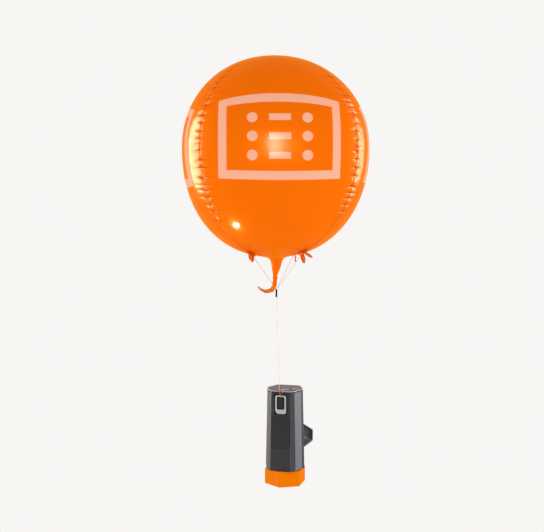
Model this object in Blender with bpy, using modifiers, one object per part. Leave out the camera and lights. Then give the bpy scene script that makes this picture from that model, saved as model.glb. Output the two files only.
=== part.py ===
"""Signal balloon: an orange foil balloon on a tether, held by its six-sided inflator canister.

Metres, +Z up. The origin is the centre of the envelope. The balloon's seams stand at the corners
of a rounded square turned by GORE_TURN, and the canister's front face looks along -Y and a little -X.
"""

import math

import bmesh
import bpy
from mathutils import Matrix, Vector

GAP = 0.0003  # running gap between pieces that touch

# Envelope
GORE_COUNT = 4
GORE_TURN = math.radians(3.0)  # azimuth of the front gore's middle, from -Y towards +X
ENVELOPE_RADIUS = 0.191
SEAM_RIDGE = 0.115  # the seams stand this share further out than the gores' middles
CROWN_HEIGHT = 0.1935
CROWN_POWER = 2.10
BELLY_DEPTH = 0.2217
BELLY_POWER = 2.18
SHELL = 0.010
CROWN_HOLE = 0.006
NECK_FLANGE = 0.030
GORE_COLUMNS = 14
GORE_ROWS = 26

# Neck, its tie and its tail
NECK_TOP_X = 0.0040
THROAT_X = 0.0010
THROAT_Z = -0.2649
TIE_RADIUS = 0.0058
TIE_HEIGHT = 0.0040
TIE_EDGE = 0.0012
TAIL_RADIUS = 0.0046

# Gathered tabs at the lower ends of the seams
TAB_ROWS = (
    # name, quarter turns from the front gore's middle, radius,
    # then for each leaf: distance of its root out from the tab's middle, length, width, lean in degrees
    ("front_left", -0.5, 0.069, ((0.0040, 0.0185, 0.0110, 17),)),
    ("front_right", 0.5, 0.076, ((-0.0040, 0.0220, 0.0100, 20), (0.0030, 0.0240, 0.0060, 62))),
    ("rear_right", 1.5, 0.066, ((0.0, 0.0210, 0.0110, 22),)),
    ("rear_left", -1.5, 0.068, ((0.0, 0.0190, 0.0110, -10),)),
)
TAB_LENGTH = 0.026
TAB_WIDTH = 0.011
TAB_HEIGHT = 0.006
LEAF_THICKNESS = 0.0012
LEAF_ROOT = 0.0020
LINE_SHARE = 0.65  # how far along the tab's inner half its line is tied

# Lines
LINE_RADIUS = 0.0005
BRIDLE_SPREAD = 0.0011
TETHER_RADIUS = 0.0008
LINE_CLEAR = TETHER_RADIUS + GAP + 0.0002  # from the notch floor to a line's middle
STRAND_LIFT = 0.0008  # the strand stands off the cover's edge
SLEEVE_TOP = Vector((0.0040, 0.0035, -0.2890))
SLEEVE_LENGTH = 0.0172
SLEEVE_RADIUS = 0.0020

# Canister: a six-sided tapering body about its own axis, front along local -Y
CANISTER_X = 0.0230
CANISTER_Y = 0.0331
CANISTER_TURN = math.radians(-15)
BODY_TOP = -0.5050
BODY_BOTTOM = -0.6765
FRONT_HALF = 0.0277
FRONT_APOTHEM = 0.0385
SIDE_HALF = 0.0432
CORNER_CUT = 0.0050
SIDE_CUT = 0.0016
TOP_SCALE = 0.917
WALL = 0.0030
COVER_THICKNESS = 0.0034
COVER_EDGE = 0.0011

# Front face fittings
RING_WIDTH = 0.0235
RING_HEIGHT = 0.0392
RING_CENTRE_Z = -0.5344
RING_SHIFT = -0.0006
RING_CORNER = 0.0040
RING_CLIP = (0.0040, 0.0062)  # width and height cut off its lower left corner
RECESS_CORNER = 0.0050
RING_PROUD = 0.0012
RECESS_DEPTH = 0.0014
RECESS_MARGIN = 0.0020
WINDOW_WIDTH = 0.0166
WINDOW_HEIGHT = 0.0273
WINDOW_CORNER = 0.0030
WINDOW_TOP_BAR = 0.0026
INSERT_THICKNESS = 0.0016
NOTCH_WIDTH = 0.0100
NOTCH_HEIGHT = 0.0300
NOTCH_OVERLAP = 0.0020
NOTCH_DEPTH = 0.0026
PANEL_WIDTH = 0.0410
PANEL_TOP = -0.5597
PANEL_BOTTOM = -0.6287
PANEL_CORNER = 0.0050
PANEL_DEPTH = 0.0010
PANEL_THICKNESS = 0.0006

# Label band on the right-hand front face
BAND_WIDTH = 0.0243
BAND_SHIFT = -0.0017  # from the face's middle towards the front
BAND_TOP = -0.5092
BAND_BOTTOM = -0.6755
BAND_THICKNESS = 0.0008

# Strap loop behind the right-hand edge
LOOP_AZIMUTH = math.radians(136)
LOOP_WIDTH = 0.036
LOOP_WALL = 0.0026
LOOP_ROOT = 0.0240
LOOP_REACH = 0.0605
LOOP_HEEL = 0.0020
LOOP_TOP_ROOT = -0.5760
LOOP_TOP_CORNER = -0.6000
LOOP_LOW_CORNER = -0.6230
LOOP_LOW_HEEL = -0.6255
LOOP_BOTTOM_ROOT = -0.6425

# Collar, cartridge and cap
COLLAR_RADIUS = 0.0320
COLLAR_TOP = -0.6600
COLLAR_BOTTOM = -0.7020
COLLAR_WALL = 0.0030
CARTRIDGE_RADIUS = 0.0200
CARTRIDGE_LENGTH = 0.1480
CAP_TURN = math.radians(-2.2)  # the cap stands this far off the body's own corners
CAP_CORNER_RADIUS = 0.0452
CAP_HEIGHT = 0.0337
CAP_GAP = 0.0006
CAP_BORE = 0.0330
CAP_FLOOR = 0.0050
CAP_EDGE = 0.0022

COLOURS = {
    # name: red, green, blue (linear), roughness, metallic
    "orange_foil": (0.93, 0.155, 0.002, 0.22, 0.35),
    "line_cord": (0.86, 0.62, 0.42, 0.70, 0.0),
    "black_sleeve": (0.012, 0.012, 0.013, 0.50, 0.0),
    "dark_plastic": (0.060, 0.056, 0.064, 0.55, 0.0),
    "panel_plastic": (0.037, 0.036, 0.044, 0.60, 0.0),
    "cover_plastic": (0.20, 0.19, 0.20, 0.45, 0.0),
    "ring_plastic": (0.45, 0.45, 0.47, 0.40, 0.0),
    "window_plastic": (0.030, 0.026, 0.027, 0.30, 0.0),
    "band_plastic": (0.22, 0.22, 0.23, 0.55, 0.0),
    "orange_cap": (0.84, 0.19, 0.003, 0.45, 0.0),
    "steel": (0.45, 0.46, 0.48, 0.35, 1.0),
}


def clear_scene():
    for old in list(bpy.data.objects):
        bpy.data.objects.remove(old, do_unlink=True)


def new_collection(name):
    collection = bpy.data.collections.new(name)
    bpy.context.scene.collection.children.link(collection)
    return collection


def make_material(name):
    red, green, blue, roughness, metallic = COLOURS[name]
    made = bpy.data.materials.new(name)
    made.use_nodes = True
    shader = made.node_tree.nodes["Principled BSDF"]
    shader.inputs["Base Color"].default_value = (red, green, blue, 1.0)
    shader.inputs["Roughness"].default_value = roughness
    shader.inputs["Metallic"].default_value = metallic
    return made


clear_scene()
PARTS = new_collection("signal_balloon")
CUTTERS = new_collection("cutters")
MATERIALS = {name: make_material(name) for name in COLOURS}


def add_object(name, data, material, parent=None, location=(0, 0, 0), rotation=(0, 0, 0)):
    """A sub-part in the object's collection."""
    made = bpy.data.objects.new(name, data)
    PARTS.objects.link(made)
    data.materials.append(MATERIALS[material])
    made.parent = parent
    made.location = location
    made.rotation_euler = rotation
    return made


def add_cutter(name, data, parent=None, location=(0, 0, 0), rotation=(0, 0, 0)):
    made = bpy.data.objects.new(name, data)
    CUTTERS.objects.link(made)
    made.hide_render = True
    made.display_type = "WIRE"
    made.parent = parent
    made.location = location
    made.rotation_euler = rotation
    return made


def add_empty(name, parent=None, location=(0, 0, 0), rotation=(0, 0, 0)):
    made = bpy.data.objects.new(name, None)
    PARTS.objects.link(made)
    made.parent = parent
    made.location = location
    made.rotation_euler = rotation
    return made


def boolean(target, cutter, operation="DIFFERENCE"):
    made = target.modifiers.new(f"{operation.lower()} {cutter.name}", "BOOLEAN")
    made.object = cutter
    made.operation = operation


def mesh_from(shape, name):
    bmesh.ops.recalc_face_normals(shape, faces=shape.faces)
    mesh = bpy.data.meshes.new(name)
    shape.to_mesh(mesh)
    shape.free()
    return mesh


def block(name, size):
    """A box of this size about its own origin."""
    shape = bmesh.new()
    bmesh.ops.create_cube(shape, size=1.0, matrix=Matrix.Diagonal((*size, 1.0)))
    return mesh_from(shape, name)


def drum(name, radius, height, segments=48):
    """A cylinder about its own origin."""
    shape = bmesh.new()
    bmesh.ops.create_cone(
        shape,
        cap_ends=True,
        segments=segments,
        radius1=radius,
        radius2=radius,
        depth=height,
    )
    return mesh_from(shape, name)


def loft(name, low, low_z, high, high_z):
    """A closed solid between two flat outlines with the same number of corners."""
    shape = bmesh.new()
    lower = [shape.verts.new((x, y, low_z)) for x, y in low]
    upper = [shape.verts.new((x, y, high_z)) for x, y in high]
    shape.faces.new(lower)
    shape.faces.new(upper)
    bmesh.ops.bridge_loops(shape, edges=shape.edges[:])
    return mesh_from(shape, name)


def flat_curve(name, outlines, thickness):
    """A flat plate in its own XY plane, from closed outlines; an outline inside another is a hole."""
    curve = bpy.data.curves.new(name, "CURVE")
    curve.dimensions = "2D"
    curve.fill_mode = "BOTH"
    curve.extrude = thickness / 2
    for outline in outlines:
        spline = curve.splines.new("POLY")
        spline.points.add(len(outline) - 1)
        for point, (x, y) in zip(spline.points, outline):
            point.co = (x, y, 0.0, 1.0)
        spline.use_cyclic_u = True
    return curve


def curve_to_mesh(curve, name):
    """The welded mesh of a curve, ready for a Boolean."""
    holder = bpy.data.objects.new(name + " curve", curve)
    CUTTERS.objects.link(holder)
    holder.hide_render = True
    graph = bpy.context.evaluated_depsgraph_get()
    mesh = bpy.data.meshes.new_from_object(holder.evaluated_get(graph))
    bpy.data.objects.remove(holder, do_unlink=True)
    shape = bmesh.new()
    shape.from_mesh(mesh)
    bpy.data.meshes.remove(mesh)
    bmesh.ops.remove_doubles(shape, verts=shape.verts, dist=1e-6)
    return mesh_from(shape, name)


def tube(name, material, points, radius, scales=None, sides=2, parent=None):
    """A round line through these points, with an optional share of the radius at each."""
    curve = bpy.data.curves.new(name, "CURVE")
    curve.dimensions = "3D"
    curve.bevel_depth = radius
    curve.bevel_resolution = sides
    curve.use_fill_caps = True
    spline = curve.splines.new("POLY")
    spline.points.add(len(points) - 1)
    for index, (point, place) in enumerate(zip(spline.points, points)):
        point.co = (*place, 1.0)
        point.radius = 1.0 if scales is None else scales[index]
    return add_object(name, curve, material, parent)


def rounded_rectangle(width, height, radius, steps=4):
    """Corners of a rectangle about the origin, each an arc, anticlockwise."""
    points = []
    for corner, (side_x, side_y) in enumerate(((1, -1), (1, 1), (-1, 1), (-1, -1))):
        centre_x = side_x * (width / 2 - radius)
        centre_y = side_y * (height / 2 - radius)
        for step in range(steps + 1):
            angle = math.radians(-90 + 90 * corner + 90 * step / steps)
            points.append((centre_x + radius * math.cos(angle), centre_y + radius * math.sin(angle)))
    return points


# Envelope


def profile(height):
    """Radius of a gore's middle at this height."""
    if height >= 0:
        share = min(height / CROWN_HEIGHT, 1.0)
        return ENVELOPE_RADIUS * (1 - share**CROWN_POWER) ** (1 / CROWN_POWER)
    share = min(-height / BELLY_DEPTH, 1.0)
    return ENVELOPE_RADIUS * (1 - share**BELLY_POWER) ** (1 / BELLY_POWER)


def height_at(radius, lower=True):
    """Height at which the profile has this radius."""
    share = radius / ENVELOPE_RADIUS
    if lower:
        return -BELLY_DEPTH * (1 - share**BELLY_POWER) ** (1 / BELLY_POWER)
    return CROWN_HEIGHT * (1 - share**CROWN_POWER) ** (1 / CROWN_POWER)


def envelope_point(azimuth, height):
    """A point of the envelope; azimuth runs from the front gore's middle towards +X."""
    middle = profile(height)
    ridge = SEAM_RIDGE * (middle / ENVELOPE_RADIUS) ** 2 * (1 - math.cos(GORE_COUNT * azimuth)) / 2
    radius = middle * (1 + ridge)
    turn = azimuth + GORE_TURN
    return Vector((radius * math.sin(turn), -radius * math.cos(turn), height))


def inward(point):
    """Unit vector into the envelope at this point, in the upright plane through the axis."""
    azimuth = math.atan2(point.x, -point.y) - GORE_TURN
    step = 0.0005
    above = envelope_point(azimuth, min(point.z + step, CROWN_HEIGHT))
    below = envelope_point(azimuth, max(point.z - step, -BELLY_DEPTH))
    rise = above.z - below.z
    widening = above.xy.length - below.xy.length
    outward = point.xy.normalized() * rise
    return -Vector((outward.x, outward.y, -widening)).normalized()


def gore(name, quarter):
    """One gore: an open sheet between two seams, drawn out inwards to the thickness of the shell."""
    top = height_at(CROWN_HOLE, lower=False)
    bottom = height_at(NECK_FLANGE)
    half = math.pi / GORE_COUNT
    shape = bmesh.new()
    bmesh.ops.create_grid(shape, x_segments=GORE_COLUMNS, y_segments=GORE_ROWS, size=0.5)
    for vert in shape.verts:
        across = vert.co.x * 2
        rise = (1 - math.cos(math.pi * (vert.co.y + 0.5))) / 2
        height = bottom + (top - bottom) * rise
        edge = half - GAP / profile(height) / 2
        vert.co = envelope_point(quarter * 2 * half + across * edge, height)
    sheet = shape.verts[:] + shape.edges[:] + shape.faces[:]
    drawn = bmesh.ops.extrude_face_region(shape, geom=sheet, use_keep_orig=True)
    for part in drawn["geom"]:
        if isinstance(part, bmesh.types.BMVert):
            part.co += inward(part.co) * SHELL
    mesh = mesh_from(shape, name)
    mesh.shade_smooth()
    mesh.set_sharp_from_angle(angle=math.radians(40))
    return add_object(name, mesh, "orange_foil")


for gore_name, gore_quarter in (("gore_front", 0), ("gore_right", 1), ("gore_rear", 2), ("gore_left", 3)):
    gore(gore_name, gore_quarter)


# Neck: a solid plug in the gores' lower rim that narrows to the tied throat

NECK_STATIONS = (
    # height, radius
    (-0.2112, 0.0274),
    (-0.2199, 0.0282),
    (-0.2220, 0.0200),
    (-0.2250, 0.0150),
    (-0.2299, 0.0123),
    (-0.2387, 0.0103),
    (-0.2476, 0.0079),
    (-0.2541, 0.0063),
    (-0.2606, 0.0044),
    (THROAT_Z + 0.0025, 0.0040),
)


def neck_x(height):
    share = (height - NECK_STATIONS[0][0]) / (THROAT_Z - NECK_STATIONS[0][0])
    return NECK_TOP_X + (THROAT_X - NECK_TOP_X) * share


def lathe(name, stations, segments=24):
    """A solid of round sections, each centred on the leaning neck line."""
    shape = bmesh.new()
    rings = []
    for height, radius in stations:
        turned = bmesh.ops.create_circle(shape, segments=segments, radius=radius)
        centre = neck_x(height) if height < NECK_STATIONS[1][0] else 0.0
        bmesh.ops.translate(shape, verts=turned["verts"], vec=(centre, 0.0, height))
        rings.append(turned["verts"])
    for upper, lower in zip(rings, rings[1:]):
        for index in range(segments):
            after = (index + 1) % segments
            shape.faces.new((upper[index], upper[after], lower[after], lower[index]))
    shape.faces.new(rings[0])
    shape.faces.new(rings[-1])
    return mesh_from(shape, name)


add_object("neck", lathe("neck", NECK_STATIONS), "orange_foil")

tie_mesh = drum("neck_tie", TIE_RADIUS, TIE_HEIGHT, segments=24)
neck_tie = add_object("neck_tie", tie_mesh, "orange_foil", location=(THROAT_X, 0, THROAT_Z))
tie_bevel = neck_tie.modifiers.new("soft edge", "BEVEL")
tie_bevel.width = TIE_EDGE
tie_bevel.segments = 2

TAIL_ROUTE = (
    # x, y, z, share of the tail's radius
    (0.0012, 0.0, THROAT_Z - 0.0023, 0.80),
    (0.0012, 0.0, THROAT_Z - 0.0040, 0.80),
    (0.0006, -0.0070, -0.2745, 0.90),
    (-0.0004, -0.0108, -0.2795, 0.95),
    (-0.0022, -0.0112, -0.2850, 1.00),
    (-0.0060, -0.0115, -0.2895, 0.95),
    (-0.0120, -0.0115, -0.2920, 0.85),
    (-0.0190, -0.0112, -0.2925, 0.75),
    (-0.0260, -0.0108, -0.2900, 0.58),
    (-0.0320, -0.0104, -0.2858, 0.40),
    (-0.0352, -0.0100, -0.2832, 0.20),
)
tube(
    "neck_tail",
    "orange_foil",
    [row[:3] for row in TAIL_ROUTE],
    TAIL_RADIUS,
    [row[3] for row in TAIL_ROUTE],
    sides=3,
)


# Tabs: the gathered ends of the seams, with their loose leaves of film


def leaf_outline(length, width):
    """A pointed leaf that hangs from the origin along -Y."""
    half = width / 2
    return [
        (-half * 0.55, LEAF_ROOT),
        (-half * 0.80, -length * 0.20),
        (-half, -length * 0.50),
        (-half * 0.70, -length * 0.80),
        (0.0, -length),
        (half * 0.70, -length * 0.80),
        (half, -length * 0.50),
        (half * 0.80, -length * 0.20),
        (half * 0.55, LEAF_ROOT),
    ]


def tab(name, quarter, radius, leaves):
    azimuth = quarter * 2 * math.pi / GORE_COUNT
    height = height_at(radius)
    seat = envelope_point(azimuth, height)
    inner = envelope_point(azimuth, height_at(radius - 0.01))
    outer = envelope_point(azimuth, height_at(radius + 0.01))
    along = (outer - inner).normalized()
    side = Vector((0, 0, 1)).cross(along).normalized()
    down = along.cross(side).normalized()
    if down.z > 0:
        down = -down
    shape = bmesh.new()
    bmesh.ops.create_uvsphere(shape, u_segments=14, v_segments=8, radius=0.5)
    axes = Matrix((along * TAB_LENGTH, side * TAB_WIDTH, down * TAB_HEIGHT)).transposed().to_4x4()
    centre = seat + down * (TAB_HEIGHT / 2 + 2 * GAP)
    bmesh.ops.transform(shape, matrix=Matrix.Translation(centre) @ axes, verts=shape.verts)
    made = add_object(name, mesh_from(shape, name), "orange_foil")
    facing = math.atan2(seat.x, -seat.y)
    turn = Matrix.Rotation(facing * 0.5, 4, "Z")
    upright = Matrix.Rotation(math.radians(90), 4, "X")
    for number, (root, length, width, lean) in enumerate(leaves):
        leaf_name = f"{name} leaf {number}"
        outline = leaf_outline(length, width)
        leaf = curve_to_mesh(flat_curve(leaf_name, [outline], LEAF_THICKNESS), leaf_name)
        tilt = Matrix.Rotation(math.radians(-lean), 4, "Y") @ upright
        leaf.transform(Matrix.Translation(centre + along * root) @ turn @ tilt)
        boolean(made, add_cutter(leaf_name, leaf), "UNION")
    depth = TAB_HEIGHT / 2 * math.sqrt(1 - LINE_SHARE**2)
    return centre - along * (LINE_SHARE * TAB_LENGTH / 2) + down * (depth + LINE_RADIUS + GAP)


LINE_STARTS = []
for tab_name, tab_quarter, tab_radius, tab_leaves in TAB_ROWS:
    LINE_STARTS.append(tab("tab_" + tab_name, tab_quarter, tab_radius, tab_leaves))


# Bridle: one taut line from each tab to the sleeve

for row, start in zip(TAB_ROWS, LINE_STARTS):
    outward = Vector((start.x, start.y, 0)).normalized()
    end = SLEEVE_TOP + outward * BRIDLE_SPREAD + Vector((0, 0, LINE_RADIUS + GAP))
    tube("bridle_" + row[0], "line_cord", [start, end], LINE_RADIUS)

sleeve_centre = SLEEVE_TOP - Vector((0, 0, SLEEVE_LENGTH / 2))
sleeve_mesh = drum("tether_sleeve", SLEEVE_RADIUS, SLEEVE_LENGTH, 16)
add_object("tether_sleeve", sleeve_mesh, "black_sleeve", location=sleeve_centre)


# Canister

canister_axis = add_empty("canister_axis", None, (CANISTER_X, CANISTER_Y, 0), (0, 0, CANISTER_TURN))


def body_scale(height):
    share = (height - BODY_BOTTOM) / (BODY_TOP - BODY_BOTTOM)
    return 1 + (TOP_SCALE - 1) * share


def body_outline(scale, outset=0.0):
    """The six-sided section with its corners cut, moved outwards by outset."""
    slant = math.hypot(FRONT_APOTHEM, SIDE_HALF - FRONT_HALF)
    apothem = FRONT_APOTHEM * scale + outset
    side = SIDE_HALF * scale + outset * slant / FRONT_APOTHEM
    front = side - apothem * (SIDE_HALF - FRONT_HALF) / FRONT_APOTHEM
    sharp = [(front, -apothem), (side, 0.0), (front, apothem), (-front, apothem), (-side, 0.0), (-front, -apothem)]
    cuts = [CORNER_CUT, SIDE_CUT, CORNER_CUT, CORNER_CUT, SIDE_CUT, CORNER_CUT]
    points = []
    for index, (corner, cut) in enumerate(zip(sharp, cuts)):
        here = Vector(corner)
        before = (Vector(sharp[index - 1]) - here).normalized()
        after = (Vector(sharp[(index + 1) % 6]) - here).normalized()
        points.append(tuple(here + before * cut * scale))
        points.append(tuple(here + after * cut * scale))
    return points


def body_loft(name, low_z, high_z, outset=0.0):
    return loft(
        name,
        body_outline(body_scale(low_z), outset),
        low_z,
        body_outline(body_scale(high_z), outset),
        high_z,
    )


def face_frame(name, azimuth, apothem, height):
    """An empty on a side face: its -Y points out of the face and its Z up along it."""
    lean = math.atan(apothem * (1 - TOP_SCALE) / (BODY_TOP - BODY_BOTTOM))
    reach = apothem * body_scale(height)
    place = (reach * math.sin(azimuth), -reach * math.cos(azimuth), height)
    return add_empty(name, canister_axis, place, (-lean, 0, azimuth))


def face_plate(name, width, height, radius, thickness, window=None, clip=None, corner_steps=4):
    """A flat plate that lies in a face frame's XZ plane."""
    outer = rounded_rectangle(width, height, radius, corner_steps)
    if clip:
        clip_width, clip_height = clip
        cut = [(-width / 2, clip_height - height / 2), (clip_width - width / 2, -height / 2)]
        outer[-corner_steps - 1 :] = cut
    outlines = [outer]
    if window:
        window_width, window_height, window_shift, window_radius = window
        inner = rounded_rectangle(window_width, window_height, window_radius, corner_steps)
        outlines.append([(x, y + window_shift) for x, y in inner])
    mesh = curve_to_mesh(flat_curve(name, outlines, thickness), name)
    mesh.transform(Matrix.Rotation(math.radians(90), 4, "X"))
    return mesh


SHELL_TOP = BODY_TOP - COVER_THICKNESS - GAP
canister_shell = add_object(
    "canister_shell", body_loft("canister_shell", BODY_BOTTOM, SHELL_TOP), "dark_plastic", canister_axis
)
hollow = add_cutter("shell hollow", body_loft("shell hollow", BODY_BOTTOM - 0.01, BODY_TOP, -WALL), canister_axis)
boolean(canister_shell, hollow)

front_face = face_frame("front_face", 0.0, FRONT_APOTHEM, RING_CENTRE_Z)
recess_data = face_plate(
    "ring recess",
    RING_WIDTH + 2 * RECESS_MARGIN,
    RING_HEIGHT + 2 * RECESS_MARGIN,
    RECESS_CORNER,
    2 * RECESS_DEPTH,
)
ring_recess = add_cutter("ring recess", recess_data, front_face, (RING_SHIFT, 0, 0))
boolean(canister_shell, ring_recess)
notch_block = block("cord notch", (NOTCH_WIDTH, 2 * NOTCH_DEPTH, NOTCH_HEIGHT))
notch_place = (RING_SHIFT, 0.0, (RING_HEIGHT + NOTCH_HEIGHT) / 2 - NOTCH_OVERLAP)
cord_notch = add_cutter("cord notch", notch_block, front_face, notch_place)
boolean(canister_shell, cord_notch)

ring_thickness = RECESS_DEPTH + RING_PROUD - GAP
ring_offset = -(RING_PROUD + RECESS_DEPTH - GAP) / 2 + RECESS_DEPTH - GAP
window_shift = RING_HEIGHT / 2 - WINDOW_TOP_BAR - WINDOW_HEIGHT / 2
ring_data = face_plate(
    "release_ring",
    RING_WIDTH,
    RING_HEIGHT,
    RING_CORNER,
    ring_thickness,
    window=(WINDOW_WIDTH, WINDOW_HEIGHT, window_shift, WINDOW_CORNER),
    clip=RING_CLIP,
)
add_object("release_ring", ring_data, "ring_plastic", front_face, (RING_SHIFT, ring_offset, 0))
insert_data = face_plate(
    "window_insert",
    WINDOW_WIDTH - 2 * GAP,
    WINDOW_HEIGHT - 2 * GAP,
    WINDOW_CORNER - GAP,
    INSERT_THICKNESS,
)
insert_place = (RING_SHIFT, RECESS_DEPTH - GAP - INSERT_THICKNESS / 2, window_shift)
add_object("window_insert", insert_data, "window_plastic", front_face, insert_place)

panel_face = face_frame("panel_face", 0.0, FRONT_APOTHEM, (PANEL_TOP + PANEL_BOTTOM) / 2)
panel_height = PANEL_TOP - PANEL_BOTTOM
panel_recess_data = face_plate("panel recess", PANEL_WIDTH, panel_height, PANEL_CORNER, 2 * PANEL_DEPTH)
panel_recess = add_cutter("panel recess", panel_recess_data, panel_face)
boolean(canister_shell, panel_recess)
panel_data = face_plate(
    "front_panel", PANEL_WIDTH - 2 * GAP, panel_height - 2 * GAP, PANEL_CORNER - GAP, PANEL_THICKNESS
)
panel_place = (0, PANEL_DEPTH - GAP - PANEL_THICKNESS / 2, 0)
add_object("front_panel", panel_data, "panel_plastic", panel_face, panel_place)

side_azimuth = math.atan2(FRONT_APOTHEM, SIDE_HALF - FRONT_HALF)
side_apothem = SIDE_HALF * math.sin(side_azimuth)
side_face = face_frame("side_face", side_azimuth, side_apothem, (BAND_TOP + BAND_BOTTOM) / 2)
middle_x = (FRONT_HALF + SIDE_HALF) / 2
middle_y = -FRONT_APOTHEM / 2
face_middle = middle_x * math.cos(side_azimuth) + middle_y * math.sin(side_azimuth)
band_data = face_plate(
    "label_band", BAND_WIDTH, BAND_TOP - BAND_BOTTOM, BAND_THICKNESS, BAND_THICKNESS, corner_steps=1
)
band_place = (face_middle + BAND_SHIFT, -(BAND_THICKNESS / 2 + GAP), 0)
add_object("label_band", band_data, "band_plastic", side_face, band_place)

top_cover = add_object(
    "top_cover", body_loft("top_cover", BODY_TOP - COVER_THICKNESS, BODY_TOP), "cover_plastic", canister_axis
)
cover_edge = top_cover.modifiers.new("soft edge", "BEVEL")
cover_edge.width = COVER_EDGE
cover_edge.segments = 2
boolean(top_cover, cord_notch)


# Strap loop: a moulded strap of trapezoid shape, seated on the rear right face


def loop_outline(inset):
    """The loop's side profile as (reach from the axis, height), moved inwards by inset."""
    return [
        (LOOP_ROOT, LOOP_TOP_ROOT - inset * 1.2),
        (LOOP_REACH - inset, LOOP_TOP_CORNER - inset * 0.6),
        (LOOP_REACH - inset, LOOP_LOW_CORNER + inset * 0.4),
        (LOOP_REACH - LOOP_HEEL - inset * 0.8, LOOP_LOW_HEEL + inset * 0.8),
        (LOOP_ROOT, LOOP_BOTTOM_ROOT + inset * 1.1),
    ]


loop_curve = flat_curve("strap_loop", [loop_outline(0.0), loop_outline(LOOP_WALL)[::-1]], LOOP_WIDTH)
loop_mesh = curve_to_mesh(loop_curve, "strap_loop")
loop_mesh.transform(Matrix.Rotation(math.radians(90), 4, "X"))
strap_loop = add_object(
    "strap_loop", loop_mesh, "dark_plastic", canister_axis, rotation=(0, 0, LOOP_AZIMUTH - math.radians(90))
)
loop_trim = add_cutter("loop trim", body_loft("loop trim", BODY_BOTTOM, BODY_TOP, GAP), canister_axis)
boolean(strap_loop, loop_trim)


# Collar and cartridge

collar_height = COLLAR_TOP - COLLAR_BOTTOM
collar_middle = (COLLAR_TOP + COLLAR_BOTTOM) / 2
cap_collar = add_object(
    "cap_collar",
    drum("cap_collar", COLLAR_RADIUS, collar_height, 64),
    "dark_plastic",
    canister_axis,
    (0, 0, collar_middle),
)
collar_bore = add_cutter(
    "collar bore",
    drum("collar bore", COLLAR_RADIUS - COLLAR_WALL, collar_height, 64),
    canister_axis,
    (0, 0, collar_middle + COLLAR_WALL),
)
boolean(cap_collar, collar_bore)
cartridge_middle = COLLAR_BOTTOM + COLLAR_WALL + GAP + CARTRIDGE_LENGTH / 2
gas_cartridge = add_object(
    "gas_cartridge",
    drum("gas_cartridge", CARTRIDGE_RADIUS, CARTRIDGE_LENGTH, 32),
    "steel",
    canister_axis,
    (0, 0, cartridge_middle),
)

# Cap: a six-sided cup that turns on the collar

CAP_TOP = BODY_BOTTOM - CAP_GAP
cap_outline = [
    (CAP_CORNER_RADIUS * math.sin(math.radians(turn)), -CAP_CORNER_RADIUS * math.cos(math.radians(turn)))
    for turn in range(0, 360, 60)
]
cap = add_object(
    "cap", loft("cap", cap_outline, -CAP_HEIGHT / 2, cap_outline, CAP_HEIGHT / 2), "orange_cap", canister_axis
)
cap.location = (0, 0, CAP_TOP - CAP_HEIGHT / 2)
cap.rotation_euler = (0, 0, CAP_TURN)
cap_bevel = cap.modifiers.new("moulded edges", "BEVEL")
cap_bevel.width = CAP_EDGE
cap_bevel.segments = 2
cap_bore = add_cutter(
    "cap bore",
    drum("cap bore", CAP_BORE, CAP_HEIGHT, 64),
    canister_axis,
    (0, 0, CAP_TOP - CAP_HEIGHT / 2 + CAP_FLOOR),
)
boolean(cap, cap_bore)


# Tether, and the strand that lies over the top cover


def canister_point(side, out, height):
    """World place of a point given by its side step, its distance in front of the axis and its height."""
    turned = Matrix.Rotation(CANISTER_TURN, 3, "Z") @ Vector((side, -out, height))
    return turned + Vector((CANISTER_X, CANISTER_Y, 0))


def front_at(height):
    return FRONT_APOTHEM * body_scale(height)


def in_notch(side, height):
    """A point of a line that lies on the floor of the cord notch."""
    return canister_point(side, front_at(height) - NOTCH_DEPTH + LINE_CLEAR, height)


def on_cover(side, behind):
    """A point of a line that lies on the top cover, this far behind its front edge."""
    return canister_point(side, front_at(BODY_TOP) - behind, BODY_TOP + TETHER_RADIUS + GAP)


RING_REST = RING_CENTRE_Z + RING_HEIGHT / 2 + TETHER_RADIUS + 2 * GAP
TETHER_ROUTE = [
    SLEEVE_TOP + Vector((0, 0, -SLEEVE_LENGTH - GAP)),
    in_notch(-0.0040, BODY_TOP + 0.0120),
    in_notch(-0.0036, BODY_TOP - 0.0020),
    in_notch(-0.0020, RING_REST),
]
tube("tether", "line_cord", TETHER_ROUTE, TETHER_RADIUS)

STRAND_ROUTE = [
    in_notch(0.0014, RING_REST),
    in_notch(0.0024, BODY_TOP - 0.0010),
    on_cover(0.0030, NOTCH_DEPTH) + Vector((0, 0, STRAND_LIFT)),
    on_cover(0.0120, 0.0120),
    on_cover(0.0240, 0.0200),
    on_cover(0.0300, 0.0250),
]
tube("top_strand", "line_cord", STRAND_ROUTE, TETHER_RADIUS)
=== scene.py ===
import math

import bmesh
import bpy
import numpy as np
from mathutils import Matrix, Vector


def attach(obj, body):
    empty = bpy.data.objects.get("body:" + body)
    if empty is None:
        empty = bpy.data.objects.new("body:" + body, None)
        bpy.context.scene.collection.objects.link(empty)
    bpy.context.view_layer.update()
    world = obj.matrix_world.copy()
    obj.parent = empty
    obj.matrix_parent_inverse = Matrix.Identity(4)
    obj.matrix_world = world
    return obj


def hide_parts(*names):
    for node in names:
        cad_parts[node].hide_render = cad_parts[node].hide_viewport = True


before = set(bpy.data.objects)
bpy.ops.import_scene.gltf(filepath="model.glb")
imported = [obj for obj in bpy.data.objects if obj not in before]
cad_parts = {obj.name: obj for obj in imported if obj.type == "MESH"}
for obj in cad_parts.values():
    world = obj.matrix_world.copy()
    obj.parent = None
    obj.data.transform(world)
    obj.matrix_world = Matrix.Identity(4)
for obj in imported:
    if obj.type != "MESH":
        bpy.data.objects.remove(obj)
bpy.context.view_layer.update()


# Camera: level with the balloon's lower half, 1.8 m in front of its axis, and tipped a little down, so that
# the balloon's underside and the canister's top face both show. Sizes are in metres from here on.

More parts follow.
